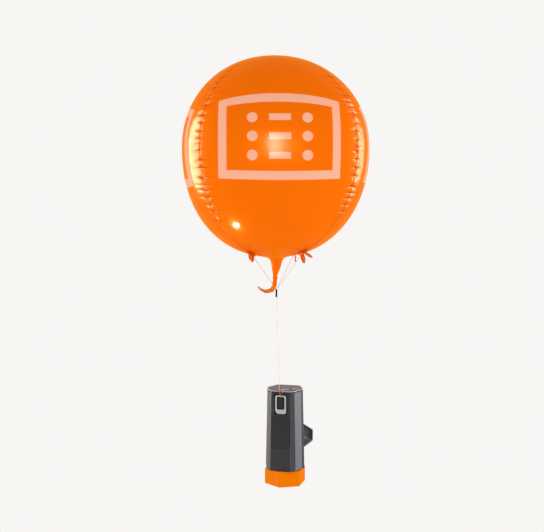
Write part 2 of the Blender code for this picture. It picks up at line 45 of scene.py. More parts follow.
CAMERA_PLACE = (-0.0052, -1.8, -0.1437)
CAMERA_TIP_DOWN = math.radians(3.07)
CAMERA_SENSOR = 36.0  # width in millimetres, as the lens is
CAMERA_LENS = 56.78


def into_scene(name, data):
    made = bpy.data.objects.new(name, data)
    bpy.context.scene.collection.objects.link(made)
    return made


camera_data = bpy.data.cameras.new("camera")
camera_data.sensor_width = CAMERA_SENSOR
camera_data.lens = CAMERA_LENS
camera = into_scene("camera", camera_data)
camera.location = CAMERA_PLACE
camera.rotation_euler = (math.pi / 2 - CAMERA_TIP_DOWN, 0, 0)
bpy.context.scene.camera = camera


# Studio: a softly lit pale room, with seamless pale paper that hangs behind the balloon and runs forward
# below it. Oval panels stand beside the balloon and a little behind it, an oval lamp stands above the camera
# and a small one low on the left. Those show only as highlights; two weak fills and the room do the shading.

ROOM_PALE = "#f7f6f4"
ROOM_STRENGTH = 1.02
CEILING_SHARE = 0.76  # brightness overhead, as a share of the walls and floor
CEILING_RISE = (0.1, 0.9)  # upward part of a ray where the room starts to darken, and where it has
PAPER_BACK = 3.2
PAPER_FRONT = 0.7
PAPER_BEND = 0.9
PAPER_BEND_STEPS = 12
PAPER_HALF_WIDTH = 14.0
PAPER_TOP = 12.0
FLOOR_HEIGHT = -1.9


def linear(hex_colour, alpha=1.0):
    """Linear RGBA of an sRGB hex colour."""
    parts = [int(hex_colour[i : i + 2], 16) / 255 for i in (1, 3, 5)]
    return tuple(c / 12.92 if c <= 0.04045 else ((c + 0.055) / 1.055) ** 2.4 for c in parts) + (alpha,)


def add(tree, kind, inputs=(), **settings):
    """Adds a node; each input is a value, a socket to link, or a node whose first open output is linked."""
    made = tree.nodes.new(kind)
    for key, value in settings.items():
        setattr(made, key, value)
    pairs = inputs.items() if isinstance(inputs, dict) else enumerate(inputs)
    for key, value in pairs:
        if isinstance(value, bpy.types.Node):
            value = next(socket for socket in value.outputs if socket.enabled)
        if isinstance(value, bpy.types.NodeSocket):
            tree.links.new(value, made.inputs[key])
        else:
            made.inputs[key].default_value = value
    return made


def new_material(name):
    """A material, and its empty node tree."""
    made = bpy.data.materials.new(name)
    made.use_nodes = True
    made.node_tree.nodes.clear()
    return made, made.node_tree


world = bpy.data.worlds.new("room")
world.use_nodes = True
room = world.node_tree
ray = add(room, "ShaderNodeTexCoord").outputs["Generated"]
brightness = add(
    room,
    "ShaderNodeMapRange",
    {
        "Value": add(room, "ShaderNodeSeparateXYZ", (ray,)).outputs["Z"],
        "From Min": CEILING_RISE[0],
        "From Max": CEILING_RISE[1],
        "To Min": ROOM_STRENGTH,
        "To Max": ROOM_STRENGTH * CEILING_SHARE,
    },
)
background = room.nodes["Background"]
background.inputs["Color"].default_value = linear(ROOM_PALE)
room.links.new(brightness.outputs["Result"], background.inputs["Strength"])
bpy.context.scene.world = world
bpy.context.scene.view_settings.view_transform = "Standard"

# Matt white paper, evenly lit: a plain pale ground for the eye, with no horizon and no shadow.
paper, tree = new_material("seamless_pale_paper")
glow = add(tree, "ShaderNodeEmission", {"Color": linear(ROOM_PALE), "Strength": 1.0})
add(tree, "ShaderNodeOutputMaterial", {"Surface": glow})

paper_profile = [(PAPER_FRONT, FLOOR_HEIGHT)]
for step in range(PAPER_BEND_STEPS + 1):
    bend = math.radians(90 * step / PAPER_BEND_STEPS)
    back = PAPER_BACK - PAPER_BEND + PAPER_BEND * math.sin(bend)
    paper_profile.append((back, FLOOR_HEIGHT + PAPER_BEND * (1 - math.cos(bend))))
paper_profile.append((PAPER_BACK, PAPER_TOP))
paper_mesh = bpy.data.meshes.new("paper")
paper_mesh.from_pydata(
    [(side, y, z) for y, z in paper_profile for side in (-PAPER_HALF_WIDTH, PAPER_HALF_WIDTH)],
    [],
    [(2 * k, 2 * k + 1, 2 * k + 3, 2 * k + 2) for k in range(len(paper_profile) - 1)],
)
backdrop = into_scene("paper", paper_mesh)
backdrop.data.materials.append(paper)

LAMPS = (
    # name, place, aim, width, height, roll in degrees, watts, colour, whether it shades
    ("panel_left", (-1.50, 0.36, 0.02), (-0.10, 0, -0.01), 0.92, 1.60, 0, 330, "#fff9ec", False),
    ("panel_right", (1.50, 0.42, 0.05), (0.10, 0, 0), 0.80, 1.35, 0, 150, "#fff9ec", False),
    ("above_camera", (0.155, -1.80, 0.14), (0, 0, 0), 0.10, 0.56, 0, 30, "#ffeccc", False),
    ("low_left", (-0.586, -0.029, -1.179), (-0.077, -0.133, -0.153), 0.28, 0.11, -22, 34, "#fff6e8", False),
    ("fill_left", (-1.60, -0.60, -0.20), (0, 0, -0.20), 1.00, 1.20, 0, 5, "#ffffff", True),
    ("fill_right", (1.60, -0.50, -0.20), (0, 0, -0.20), 1.00, 1.20, 0, 7, "#ffffff", True),
)
for lamp_name, place, aim, width, height, roll, watts, colour, shading in LAMPS:
    lamp_data = bpy.data.lights.new(lamp_name, "AREA")
    lamp_data.shape = "RECTANGLE" if shading else "ELLIPSE"
    lamp_data.color = linear(colour)[:3]
    lamp_data.size = width
    lamp_data.size_y = height
    lamp_data.energy = watts
    lamp = into_scene(lamp_name, lamp_data)
    lamp.location = place
    facing = (Vector(aim) - Vector(place)).to_track_quat("-Z", "Y").to_matrix()
    lamp.rotation_euler = (facing @ Matrix.Rotation(math.radians(roll), 3, "Z")).to_euler()
    lamp.visible_diffuse = shading
    lamp.visible_glossy = not shading


# Envelope: four gores of orange foil, welded edge to edge. The weld gathers the film, so short sharp
# puckers cross each seam about every 15 mm, and where a seam's foot is drawn up into its tab, fine folds run
# out from it. Each gore replaces its solid and meets its neighbours at the seams.

GORE_COUNT = 4
GORE_TURN = math.radians(3.0)
ENVELOPE_RADIUS = 0.191
SEAM_RIDGE = 0.115  # how much further out the seams stand at the waist, as a share of the radius
CROWN_HEIGHT = 0.1935
CROWN_POWER = 2.10
BELLY_DEPTH = 0.2217
BELLY_POWER = 2.18
NECK_FLANGE = 0.030
GORE_COLUMNS = 76
GORE_ROWS = 680
MERIDIAN_STEPS = 4000
PUCKER_PITCH = 0.0150
PUCKER_DRIFT = (
    # share of the pitch, radians a metre, radians from seam to seam
    (0.22, 61, 1),
    (0.12, 143, 2),
)
PUCKER_LEAN = 9  # most that a fold leans, in pitches for each metre from the seam
PUCKER_STRENGTH = (0.6, 1.0)
PUCKER_SPAN = (-0.175, -0.120, 0.120, 0.170)  # heights where the folds start, are full, and fade again
FOLDS_DRAWN = 200  # more than lie on any seam
PUCKER_SEED = 40
PILLOW_DEPTH = 0.0009
PILLOW_REACH = (0.009, 0.020)
CREASE_DEPTH = 0.0018
CREASE_HALF_WIDTH = 0.0011
CREASE_REACH = (0.010, 0.018)
WELD_CREASE = 0.0008
WELD_HALF_WIDTH = 0.0014
WELD_FADE = 0.03  # share of the gore's length below the crown over which the weld fades
WELD_SHADE = (0.15, 0.45, 0.45, 0.15)  # how dark the weld is painted as shade, at the heights of PUCKER_SPAN
SEAM_BLEND = 0.004  # within this distance of a seam, both gores' film is lifted the same way
TAB_RADII = (0.069, 0.076, 0.066, 0.068)  # where each seam is drawn to its tab, from the front left one on
GATHER_REACH = 0.030  # distance at which the folds that run out from a tab have faded to a third
GATHER_FOLDS = 11
GATHER_STREAKS = (0.65, 0.35)  # mean strength of the gather, and how much it varies across its folds
GATHER_DEPTH = 0.0005
FADE_POWER = 1.4  # how sharply the film's pillows and gathers end
TAB_SLOPE = 0.45  # rise of the film for each step along it, round the tabs
TINY = 1e-12


def profile(height):
    """Radius of a gore's middle at each height."""
    crown = np.clip(height / CROWN_HEIGHT, 0, 1)
    belly = np.clip(-height / BELLY_DEPTH, 0, 1)
    upper = (1 - crown**CROWN_POWER) ** (1 / CROWN_POWER)
    lower = (1 - belly**BELLY_POWER) ** (1 / BELLY_POWER)
    return ENVELOPE_RADIUS * np.where(height >= 0, upper, lower)


def underside(radius):
    """Height at which the lower half has this radius."""
    return -BELLY_DEPTH * (1 - (radius / ENVELOPE_RADIUS) ** BELLY_POWER) ** (1 / BELLY_POWER)


def meridian(rows):
    """Heights from the neck's flange to the crown, evenly spaced along the film, and its length."""
    lowest = underside(NECK_FLANGE)
    turn = np.linspace(0, math.pi, MERIDIAN_STEPS)
    heights = lowest + (CROWN_HEIGHT - lowest) * (1 - np.cos(turn)) / 2
    radii = profile(heights)
    steps = np.hypot(np.diff(heights), np.diff(radii))
    run = np.concatenate([[0], np.cumsum(steps)])
    return np.interp(np.linspace(0, run[-1], rows), run, heights), run[-1]


def envelope(azimuth, height):
    """Points of the smooth envelope, azimuth counted from the front gore's middle."""
    middle = profile(height)
    ridge = SEAM_RIDGE * (middle / ENVELOPE_RADIUS) ** 2 * (1 - np.cos(GORE_COUNT * azimuth)) / 2
    radius = middle * (1 + ridge)
    turn = azimuth + GORE_TURN
    return np.stack([radius * np.sin(turn), -radius * np.cos(turn), height + 0 * turn], axis=-1)


def waves(rows, first, second):
    """Sum of sine waves; a row is a wave's height, and its radians for each unit of first and of second."""
    return sum(height * np.sin(one * first + other * second) for height, one, other in rows)


def puckers(distance, run, height, seam):
    """Lift of the film beside a seam, and how much painted shade its creases and gathered folds get there,
    from 0 to 1.
    """
    rng = np.random.default_rng(PUCKER_SEED + seam)
    lean = rng.uniform(-PUCKER_LEAN, PUCKER_LEAN, FOLDS_DRAWN)
    phase = run / PUCKER_PITCH + waves(PUCKER_DRIFT, run, seam)
    fold = np.round(phase).astype(int)
    drawn = fold % FOLDS_DRAWN
    off = phase - fold + lean[drawn] * distance
    strength = rng.uniform(*PUCKER_STRENGTH, FOLDS_DRAWN)[drawn]
    soft = rng.uniform(*PILLOW_REACH, FOLDS_DRAWN)[drawn]
    reach = rng.uniform(*CREASE_REACH, FOLDS_DRAWN)[drawn]
    full = np.interp(height, PUCKER_SPAN, (0, 1, 1, 0))
    pillow = -PILLOW_DEPTH * np.cos(2 * math.pi * off) * np.exp(-((distance / soft) ** FADE_POWER))
    crease_and_shade = np.exp(-((off * PUCKER_PITCH / CREASE_HALF_WIDTH) ** 2)) * np.exp(-((distance / reach) ** 2))
    outward = (height - underside(TAB_RADII[seam])) / TAB_SLOPE
    spokes = np.cos(GATHER_FOLDS * np.arctan2(distance, outward))
    gather_and_shade = np.exp(-((np.hypot(distance, outward) / GATHER_REACH) ** FADE_POWER))
    gather_and_shade = (GATHER_STREAKS[0] + GATHER_STREAKS[1] * spokes) * gather_and_shade
    lift = full * strength * (pillow - CREASE_DEPTH * crease_and_shade) - GATHER_DEPTH * gather_and_shade
    return lift, full * strength * crease_and_shade, gather_and_shade


def grid_mesh(name, points, uv=None, wrap=False, caps=False):
    """A sheet of quads through rows of points; wrap joins its sides into a tube, and caps close its ends."""
    rows, columns = points.shape[:2]
    index = np.arange(rows * columns).reshape(rows, columns)
    if wrap:
        index = np.concatenate([index, index[:, :1]], axis=1)
    corners = [index[:-1, :-1], index[:-1, 1:], index[1:, 1:], index[1:, :-1]]
    faces = np.stack(corners, axis=-1).reshape(-1, 4).tolist()
    if caps:
        faces += [index[0, :columns][::-1].tolist(), index[-1, :columns].tolist()]
    mesh = bpy.data.meshes.new(name)
    mesh.from_pydata(points.reshape(-1, 3).tolist(), [], faces)
    if uv is not None:
        layer = mesh.uv_layers.new(name="film")
        layer.data.foreach_set("uv", uv.reshape(-1, 2)[np.array(faces).reshape(-1)].reshape(-1))
    mesh.shade_smooth()
    mesh.update()
    return mesh


def shaded(mesh, kind, amount):
    """Stores how much painted shade each point gets, from 0 to 1: brown in creases and folds, red where the
    film is gathered.
    """
    stored = mesh.attributes.new(kind, "FLOAT", "POINT")
    stored.data.foreach_set("value", np.asarray(amount, float).reshape(-1))
    return mesh


def unit(vectors):
    return vectors / np.maximum(np.linalg.norm(vectors, axis=-1, keepdims=True), TINY)


def gore_mesh(name, quarter, print_across, print_up):
    """A gore's film in relief, with a layer that gives the print each point's place on the flat film."""
    heights, whole = meridian(GORE_ROWS)
    across = np.sin(np.linspace(-1, 1, GORE_COLUMNS + 1) * math.pi / 2)[None, :]
    height = heights[:, None] + 0 * across
    run = np.linspace(0, whole, GORE_ROWS)[:, None] + 0 * across
    points = envelope((quarter * 2 + across) * math.pi / GORE_COUNT + 0 * run, height)
    steps = np.linalg.norm(np.diff(points, axis=1), axis=-1)
    from_left = np.concatenate([np.zeros((GORE_ROWS, 1)), np.cumsum(steps, axis=1)], axis=1)
    from_right = from_left[:, -1:] - from_left
    lift, crease_and_shade, gather_and_shade = np.where(
        from_left < from_right,
        puckers(from_left, run, height, quarter % GORE_COUNT),
        puckers(from_right, run, height, (quarter + 1) % GORE_COUNT),
    )
    nearest = np.minimum(from_left, from_right)
    weld = np.exp(-((nearest / WELD_HALF_WIDTH) ** 2)) * np.clip((1 - run / whole) / WELD_FADE, 0, 1)
    lift = lift - WELD_CREASE * weld
    # The weld line is painted dark as shade, as the creases are.
    crease_and_shade = np.maximum(crease_and_shade, np.interp(height, PUCKER_SPAN, WELD_SHADE) * weld)
    normal = unit(np.cross(np.gradient(points, axis=1), np.gradient(points, axis=0)))
    level_part = np.linalg.norm(normal * [1, 1, 0], axis=-1, keepdims=True)
    on_weld = normal * [0, 0, 1] + unit(points * [1, 1, 0]) * level_part
    share = np.exp(-((nearest / SEAM_BLEND) ** 2))[..., None]
    facing = unit(normal * (1 - share) + on_weld * share)
    middle = from_left[:, GORE_COLUMNS // 2][:, None]
    flat = np.stack([from_left - middle - print_across, height - print_up], axis=-1)
    mesh = grid_mesh(name, points + facing * lift[..., None], flat)
    # The two stored layers carry the painted shade of the creases and of the gathered folds.
    return shaded(shaded(mesh, "crease_and_shade", crease_and_shade), "gather_and_shade", gather_and_shade)


# The film is polyester, metallised and lacquered orange. On every gore a frame is printed in matt salmon
# ink, and in it three columns of marks: three dots, three dashes and three dots.

INK_CENTRE = 0.0130
INK_HALF_WIDTH = 0.1180
INK_HALF_HEIGHT = 0.0818
INK_BAR = 0.0168
INK_TOP_DROP = 0.165  # how much lower the frame's top is at the sides, as a share of its half height
INK_FOOT_RISE = 0.045
MARK_SIDE = 0.0520
MARK_STEP = 0.0360
MARK_ROWS = 3
DOT_RADIUS = 0.0100
DASH_HALF = (0.0205, 0.0064)
FILM_ORANGE = "#f86e00"
INK_SALMON = "#fab394"
# brown of the painted shade in creases, folds and welds
CREASE_SHADE_BROWN = "#7a2a00"
# red of the painted shade where the film is gathered towards a tab
GATHER_SHADE_RED = "#e23a00"
RIM_AMBER = "#ffb000"
FILM_METAL = 0.02
FILM_CLOUD = 0.060  # size of the lacquer's faint unevenness
FILM_SHADE = (0.95, 0.10)  # its least brightness, and how much the cloud adds
FILM_ROUGHNESS = (0.27, 0.06)  # its least roughness, and how much the cloud adds
FILM_RIPPLE = 0.006
FILM_RIPPLE_DEPTH = 0.0006
FILM_RIPPLE_STRENGTH = 0.08
MATHS = "ShaderNodeMath"


def inside(tree, side, up, half_width, half_height):
    """Whether a point lies in a rectangle about the origin."""
    past = []
    for step, half in ((side, half_width), (up, half_height)):
        size = add(tree, MATHS, (step,), operation="ABSOLUTE")
        past.append(add(tree, MATHS, (size, half), operation="SUBTRACT"))
    furthest = add(tree, MATHS, past, operation="MAXIMUM")
    return add(tree, MATHS, (furthest, 0.0), operation="LESS_THAN")


def print_ink(tree, film_place):
    """Where a gore carries ink: 1 on the frame and on its marks, 0 elsewhere."""
    across, up, _ = add(tree, "ShaderNodeSeparateXYZ", (film_place,)).outputs
    above = add(tree, MATHS, (up, INK_CENTRE), operation="SUBTRACT")
    upper = add(tree, MATHS, (above, 0.0), operation="GREATER_THAN")
    bend = add(tree, MATHS, (upper, INK_TOP_DROP - INK_FOOT_RISE, INK_FOOT_RISE), operation="MULTIPLY_ADD")
    spread = add(tree, MATHS, (across, INK_HALF_WIDTH), operation="DIVIDE")
    spread_squared = add(tree, MATHS, (spread, spread), operation="MULTIPLY")
    sag = add(tree, MATHS, (spread_squared, bend), operation="MULTIPLY")
    squeeze = add(tree, MATHS, (1.0, sag), operation="SUBTRACT")
    level = add(tree, MATHS, (above, squeeze), operation="DIVIDE")

    outer = inside(tree, across, level, INK_HALF_WIDTH, INK_HALF_HEIGHT)
    inner = inside(tree, across, level, INK_HALF_WIDTH - INK_BAR, INK_HALF_HEIGHT - INK_BAR)
    border = add(tree, MATHS, (outer, inner), operation="SUBTRACT")

    rows_up = add(tree, MATHS, (level, MARK_STEP), operation="DIVIDE")
    nearest_row = add(tree, MATHS, (rows_up,), operation="ROUND")
    row_level = add(tree, MATHS, (nearest_row, MARK_STEP), operation="MULTIPLY")
    from_row = add(tree, MATHS, (level, row_level), operation="SUBTRACT")
    size = add(tree, MATHS, (across,), operation="ABSOLUTE")
    from_column = add(tree, MATHS, (size, MARK_SIDE), operation="SUBTRACT")
    from_dot = add(tree, "ShaderNodeCombineXYZ", (from_column, from_row))
    from_dot = add(tree, "ShaderNodeVectorMath", (from_dot,), operation="LENGTH")
    dots = add(tree, MATHS, (from_dot, DOT_RADIUS), operation="LESS_THAN")
    dashes = inside(tree, across, from_row, *DASH_HALF)
    marks = add(tree, MATHS, (dots, dashes), operation="MAXIMUM")
    in_rows = inside(tree, across, level, INK_HALF_WIDTH, MARK_ROWS / 2 * MARK_STEP)
    marks = add(tree, MATHS, (marks, in_rows), operation="MULTIPLY")
    return add(tree, MATHS, (border, marks), operation="MAXIMUM", use_clamp=True)


def layered(tree, ground, layers):
    """Colours laid over a ground one by one, each by its share."""
    shade = linear(ground)
    for colour, share in layers:
        inputs = {"A": shade, "B": linear(colour), "Factor": share}
        shade = add(tree, "ShaderNodeMix", inputs, data_type="RGBA")
    return shade


def film_material(name, colour=FILM_ORANGE, printed=False):
    """Metallised film under lacquer, which hides nearly all the metal.

    It gives the eye a deep even orange with soft-edged bright highlights and a warm amber rim where it turns
    away. Creases and folds are painted brown as shade, and gathered film is painted redder as shade. The ink
    is paler and never metallic.
    The film's own haze is finer than the picture shows, so its ripple is drawn at 6 mm.
    """
    made, tree = new_material(name)
    film_place = add(tree, "ShaderNodeTexCoord").outputs
    cloud = add(
        tree,
        "ShaderNodeTexNoise",
        {"Vector": film_place["Object"], "Scale": 1 / FILM_CLOUD, "Detail": 2.0, "Roughness": 0.5},
    )
    ripple = add(
        tree,
        "ShaderNodeTexNoise",
        {"Vector": film_place["Object"], "Scale": 1 / FILM_RIPPLE, "Detail": 3.0, "Roughness": 0.6},
    )
    lacquer = add(tree, MATHS, (cloud, FILM_SHADE[1], FILM_SHADE[0]), operation="MULTIPLY_ADD")
    haze = add(tree, MATHS, (cloud, FILM_ROUGHNESS[1], FILM_ROUGHNESS[0]), operation="MULTIPLY_ADD")
    gather_and_shade = add(tree, "ShaderNodeAttribute", attribute_name="gather_and_shade").outputs["Fac"]
    crease_and_shade = add(tree, "ShaderNodeAttribute", attribute_name="crease_and_shade").outputs["Fac"]
    layers = [(colour, lacquer), (GATHER_SHADE_RED, gather_and_shade), (CREASE_SHADE_BROWN, crease_and_shade)]
    metal = FILM_METAL
    if printed:
        ink = print_ink(tree, film_place["UV"])
        layers.insert(2, (INK_SALMON, ink))
        bare = add(tree, MATHS, (1.0, ink), operation="SUBTRACT")
        metal = add(tree, MATHS, (bare, FILM_METAL), operation="MULTIPLY")
    relief = {"Height": ripple, "Strength": FILM_RIPPLE_STRENGTH, "Distance": FILM_RIPPLE_DEPTH}
    shader = add(
        tree,
        "ShaderNodeBsdfPrincipled",
        {
            "Base Color": layered(tree, "#000000", layers),
            "Metallic": metal,
            "Roughness": haze,
            "Normal": add(tree, "ShaderNodeBump", relief),
            "Specular IOR Level": 0.0,
            "Coat Weight": 0.06,
            "Coat Roughness": 0.11,
            "Sheen Weight": 0.70,
            "Sheen Roughness": 0.30,
            "Sheen Tint": linear(RIM_AMBER),
        },
    )
    add(tree, "ShaderNodeOutputMaterial", {"Surface": shader})
    return made


def show(name, mesh, material, node, body="frame"):
    """Puts a piece in the scene in place of its CAD node."""
    made = into_scene(name, mesh)
    made.data.materials.append(material)
    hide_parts(node)
    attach(made, body)
    return made


printed_film = film_material("metallised_film_printed", printed=True)
plain_film = film_material("metallised_film_plain")

GORES = (
    # node, quarter, how far its print is off to the right and up
    ("gore_front", 0, 0.0, 0.0),
    ("gore_right", 1, 0.009, -0.004),
    ("gore_rear", 2, 0.0, 0.0),
    ("gore_left", 3, -0.004, -0.012),
)
for node, quarter, print_across, print_up in GORES:
    gore = gore_mesh("film_" + node, quarter, print_across, print_up)
    show("film_" + node, gore, printed_film, node)


# Neck: the gores' lower ends gathered into a filling neck that narrows to the tied throat. It leans a
# little and its film is pressed into shallow pleats, deepest where it is tied.

NECK_STATIONS = (
    # height, radius, centre x
    (-0.2188, 0.0340, 0.0000),
    (-0.2199, 0.0302, 0.0004),
    (-0.2207, 0.0262, 0.0016),
    (-0.2224, 0.0200, 0.0030),
    (-0.2252, 0.0148, 0.0039),
    (-0.2299, 0.0122, 0.0041),
    (-0.2387, 0.0102, 0.0038),
    (-0.2476, 0.0079, 0.0030),
    (-0.2541, 0.0062, 0.0022),
    (-0.2606, 0.0045, 0.0014),
    (-0.2649, 0.0042, 0.0010),
)
NECK_ROWS = 90
NECK_SIDES = 156
PLEATS = 13
PLEAT_DEPTH = 0.055  # share of the radius
PLEAT_MIDDLE = 0.6  # where the film lies unpleated, between the fold and the ridge
PLEAT_START = -0.2250
PLEAT_GROWTH = 0.024  # length over which the pleats deepen
PLEAT_SLANT = 22  # radians a metre
PLEAT_WANDER = ((0.8, 3, 0),)  # radians, waves round the neck, radians a metre
CURVE_STEPS = 24


def smooth_path(points, count):
    """Evenly spaced points on a smooth curve through these rows of numbers, spaced by the first three."""
    points = np.array(points, float)
    padded = np.concatenate([[2 * points[0] - points[1]], points, [2 * points[-1] - points[-2]]])
    share = np.linspace(0, 1, CURVE_STEPS, endpoint=False)[:, None]
    runs = []
    for before, start, end, after in zip(padded, padded[1:], padded[2:], padded[3:]):
        tangent_in = (end - before) / 2
        tangent_out = (after - start) / 2
        cubic = 2 * start - 2 * end + tangent_in + tangent_out
        square = -3 * start + 3 * end - 2 * tangent_in - tangent_out
        runs.append(((cubic * share + square) * share + tangent_in) * share + start)
    curve = np.concatenate(runs + [points[-1:]])
    length = np.concatenate([[0], np.cumsum(np.linalg.norm(np.diff(curve[:, :3], axis=0), axis=1))])
    at = np.linspace(0, length[-1], count)
    return np.stack([np.interp(at, length, column) for column in curve.T], axis=1)


def turned(radius, turn, height, centre_x=0.0):
    """Rows of points round an upright axis, counted from the front."""
    rows = [centre_x + radius * np.sin(turn), -radius * np.cos(turn), height + 0 * turn]
    return np.stack(rows, axis=-1)


def full_turn(sides):
    return np.linspace(0, 2 * math.pi, sides, endpoint=False)[None, :]


stations = [(0, level, 0, radius, centre_x) for level, radius, centre_x in NECK_STATIONS]
stations = smooth_path(stations, NECK_ROWS)
turn = full_turn(NECK_SIDES)
height = stations[:, 1:2]
phase = PLEATS * turn / 2 + PLEAT_SLANT * height + waves(PLEAT_WANDER, turn, height)
depth = PLEAT_DEPTH * np.clip((PLEAT_START - height) / PLEAT_GROWTH, 0, 1)
radius = stations[:, 3:4] * (1 + depth * (np.abs(np.sin(phase)) - PLEAT_MIDDLE))
neck_points = turned(radius, turn, height, stations[:, 4:5])
show("film_neck", grid_mesh("film_neck", neck_points[::-1], wrap=True), plain_film, "neck")


# Neck tie: a narrow strip of the same foil, wound tight round the throat to keep the gas in. The edge of each
# lay stands a little proud.

TIE_CENTRE = (0.0010, 0, -0.2649)
TIE_RADIUS = 0.0056
TIE_THROAT = 0.0030
TIE_HALF = 0.0022
TIE_ROUNDING = 6
TIE_ROWS = 28
TIE_SIDES = 96
TIE_LAY = 0.00022
TIE_CRUMPLES = ((0.00012, 9, 3),)  # depth, waves round the tie, radians along it

turn = full_turn(TIE_SIDES)
share = np.linspace(-1, 1, TIE_ROWS)[:, None]
swell = np.sqrt(np.clip(1 - share**TIE_ROUNDING, 0, 1))
lay = TIE_LAY * np.abs(np.sin(2 * math.pi * share + turn))
radius = TIE_THROAT + (TIE_RADIUS - TIE_THROAT + lay + waves(TIE_CRUMPLES, turn, share)) * swell
tie_points = turned(radius, turn, TIE_HALF * share) + np.array(TIE_CENTRE)
show("film_tie", grid_mesh("film_tie", tie_points, wrap=True, caps=True), plain_film, "neck_tie")


# Neck tail: the flat end of the filling neck below the tie. It falls forward and curls away to the left,
# folded once along its length, and narrows to a cut corner.

TAIL_ROUTE = (
    # x, y, z, half width, half thickness
    (0.0012, 0.0000, -0.2668, 0.0040, 0.0036),
    (0.0012, -0.0010, -0.2692, 0.0041, 0.0032),
    (0.0006, -0.0070, -0.2745, 0.0044, 0.0024),
    (-0.0004, -0.0108, -0.2795, 0.0046, 0.0021),
    (-0.0022, -0.0112, -0.2850, 0.0046, 0.0020),
    (-0.0060, -0.0115, -0.2895, 0.0044, 0.0019),
    (-0.0120, -0.0115, -0.2920, 0.0040, 0.0017),
    (-0.0190, -0.0112, -0.2925, 0.0034, 0.0014),
    (-0.0260, -0.0108, -0.2900, 0.0026, 0.0011),
    (-0.0320, -0.0104, -0.2858, 0.0018, 0.0008),
    (-0.0352, -0.0100, -0.2832, 0.0009, 0.0004),
)
TAIL_ORANGE = "#f47a10"
TAIL_ROWS = 130
TAIL_SIDES = 40
TAIL_FOLD_DEPTH = 0.45  # share of the tail's reach
TAIL_FOLD_WIDTH = 0.35
TAIL_FOLD_WANDER = ((0.3, 0, 9),)  # radians, waves round the tail, radians along it
TAIL_CRUMPLES = (
    # share of the tail's reach, waves round it, radians along it
    (0.07, 5, 31),
    (0.05, 0, 57),
)
TAIL_EDGE_SHADE = 0.9
TAIL_EDGE_POWER = 2.2
TAIL_EDGE_GROWTH = (
    # share of the way along, strength of the painted shade at its edges
    (0.00, 0.10),
    (0.35, 0.45),
    (0.70, 1.00),
    (1.00, 1.00),
)


def sweep(name, path, sections, twist=None, side=(1, 0, 0)):
    """A closed tube of sections (rows of across, over) carried along a path without rolling."""
    path = np.array(path, float)
    tangent = np.gradient(path, axis=0)
    tangent /= np.linalg.norm(tangent, axis=1, keepdims=True)
    across = np.array(side, float)
    rows = []
    for step, (place, along) in enumerate(zip(path, tangent)):
        across = across - along * across.dot(along)
        across /= np.linalg.norm(across)
        over = np.cross(along, across)
        roll = 0 if twist is None else twist[step]
        sideways = across * math.cos(roll) + over * math.sin(roll)
        upwards = over * math.cos(roll) - across * math.sin(roll)
        rows.append(place + sections[step][:, :1] * sideways + sections[step][:, 1:] * upwards)
    return grid_mesh(name, np.array(rows), wrap=True, caps=True)


route = smooth_path(TAIL_ROUTE, TAIL_ROWS)
turn = full_turn(TAIL_SIDES)[0]
run = np.linspace(0, 1, TAIL_ROWS)
sections = []
for half_width, half_thickness, share in zip(route[:, 3], route[:, 4], run):
    from_fold = turn - math.pi / 2 + waves(TAIL_FOLD_WANDER, turn, share)
    fold = 1 - TAIL_FOLD_DEPTH * np.exp(-((from_fold / TAIL_FOLD_WIDTH) ** 2))
    reach = fold * (1 + waves(TAIL_CRUMPLES, turn, share))
    sections.append(np.stack([half_width * np.cos(turn) * reach, half_thickness * np.sin(turn) * reach], 1))
# The tail's folded edges are painted darker as shade.
edge = TAIL_EDGE_SHADE * np.abs(np.cos(turn)) ** TAIL_EDGE_POWER
edge = edge * np.interp(run, *zip(*TAIL_EDGE_GROWTH))[:, None]
tail_film = film_material("metallised_film_folded", TAIL_ORANGE)
tail = shaded(sweep("film_tail", route[:, :3], sections), "crease_and_shade", edge)
show("film_tail", tail, tail_film, "neck_tail")


# Tabs: at the lower end of each seam the spare film is gathered into a crumpled tuft, tied round with
# its line, and one or two loose leaves of the cut edge hang from it.

TABS = (
    # node, quarter, leaves as (shift out along the seam, length, width, lean in degrees)
    ("tab_front_left", -0.5, ((0.0040, 0.0185, 0.0110, 17),)),
    ("tab_front_right", 0.5, ((-0.0040, 0.0220, 0.0100, 20), (0.0030, 0.0240, 0.0060, 62))),
    ("tab_rear_right", 1.5, ((0.0, 0.0210, 0.0110, 22),)),
    ("tab_rear_left", -1.5, ((0.0, 0.0190, 0.0110, -10),)),
)
# The tufts' film is a darker, redder copy of the film orange, painted as the shade in the crumpled tuft.
TAB_SHADED_ORANGE = "#ee5c00"
TAB_SIZE = (0.026, 0.011, 0.006)
TAB_GAP = 0.0004
TAB_SEED = 70
SEAM_STEP = 0.01  # step out along the underside that gives the seam's direction at a tab
TUFT_SIDES = 84
TUFT_ROWS = 64
TUFT_CORE = 0.86  # the tuft's reach where no fold lifts it, as a share of its half size
TUFT_LIFT = 0.55
TUFT_LIMIT = 1.04
TUFT_FOLDS = (
    # depth, radians from the middle to either end
    (0.16, 3),
    (0.10, 5),
    (0.06, 9),
)
TUFT_SWIRL = (2.2, 3)  # how far the folds swing to and fro, in radians, and how often round the tuft
TUFT_LUMPS = ((0.10, 5, 4),)  # depth, waves round the tuft, radians from its middle to either end
TUFT_POLE = 0.03  # radians left open at each end, which a cap closes
TUFT_VALLEY = (0.98, 0.16, 0.6)  # reach below which painted shade darkens it, over how much that grows, and how dark it gets
LEAF_THICKNESS = 0.0005
LEAF_ROOT = 0.0020
LEAF_ROWS = 60
LEAF_ACROSS = np.linspace(-1, 1, 22)
LEAF_OUTLINE = (
    # share of the way down, share of the half width
    (0.00, 0.55),
    (0.25, 0.85),
    (0.55, 1.00),
    (0.82, 0.70),
    (1.00, 0.06),
)
